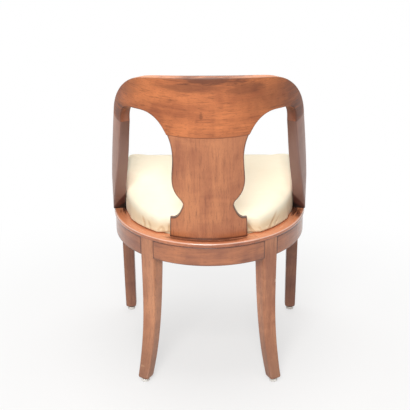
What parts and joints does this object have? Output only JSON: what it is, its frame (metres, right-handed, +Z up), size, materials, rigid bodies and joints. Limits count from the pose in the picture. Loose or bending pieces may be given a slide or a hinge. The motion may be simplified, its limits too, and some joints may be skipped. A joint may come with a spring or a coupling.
{
  "type": "dining chair",
  "caption": "Wooden side chair with a barrel-shaped back, vase splat, sabre legs and a round-backed lift-out upholstered seat.",
  "frame": {"origin": "on the floor, under the middle of the chair's bounding box", "axes": "+Z up, the sitter faces -Y, +X is the sitter's left"},
  "size_m": [0.4922, 0.4229, 0.796],
  "materials": {
    "mahogany": "satin polish",
    "block_wood": "plain, unpolished",
    "frame_beech": "plain, unpolished",
    "dowel_beech": "plain, unpolished",
    "glide_nylon": "matt",
    "plated_steel": "dull",
    "webbing_jute": "coarse weave",
    "hessian_jute": "open weave",
    "padding": "soft",
    "cover_fabric": "fine plain weave"
  },
  "bodies": {
    "chair_frame": {"block_screws": "plated_steel", "corner_block_front_left": "block_wood", "corner_block_front_right": "block_wood", "corner_block_rear_left": "block_wood", "corner_block_rear_right": "block_wood", "crest_dowels": "dowel_beech", "crest_rail": "mahogany", "front_leg_left": "mahogany", "front_leg_right": "mahogany", "front_rail": "mahogany", "glide_front_left": "glide_nylon", "glide_front_right": "glide_nylon", "glide_nails": "plated_steel", "glide_rear_left": "glide_nylon", "glide_rear_right": "glide_nylon", "rail_dowels": "dowel_beech", "rear_leg_left": "mahogany", "rear_leg_right": "mahogany", "rear_rail": "mahogany", "rim_back": "mahogany", "rim_front": "mahogany", "rim_left": "mahogany", "rim_right": "mahogany", "side_rail_left": "mahogany", "side_rail_right": "mahogany", "splat": "mahogany", "stile_dowels": "dowel_beech", "stile_left": "mahogany", "stile_right": "mahogany"},
    "drop_in_seat": {"cover_tacks": "plated_steel", "hessian": "hessian_jute", "seat_cover": "cover_fabric", "seat_frame_dowels": "dowel_beech", "seat_frame_front": "frame_beech", "seat_frame_left": "frame_beech", "seat_frame_rear": "frame_beech", "seat_frame_right": "frame_beech", "seat_padding": "padding", "webbing_crosswise": "webbing_jute", "webbing_lengthwise": "webbing_jute"}
  },
  "joints": [
    {"name": "seat_lift", "type": "slide", "parent": "chair_frame", "child": "drop_in_seat", "axis": [0, 0, 1], "range_m": [0, 0.07]}
  ]
}
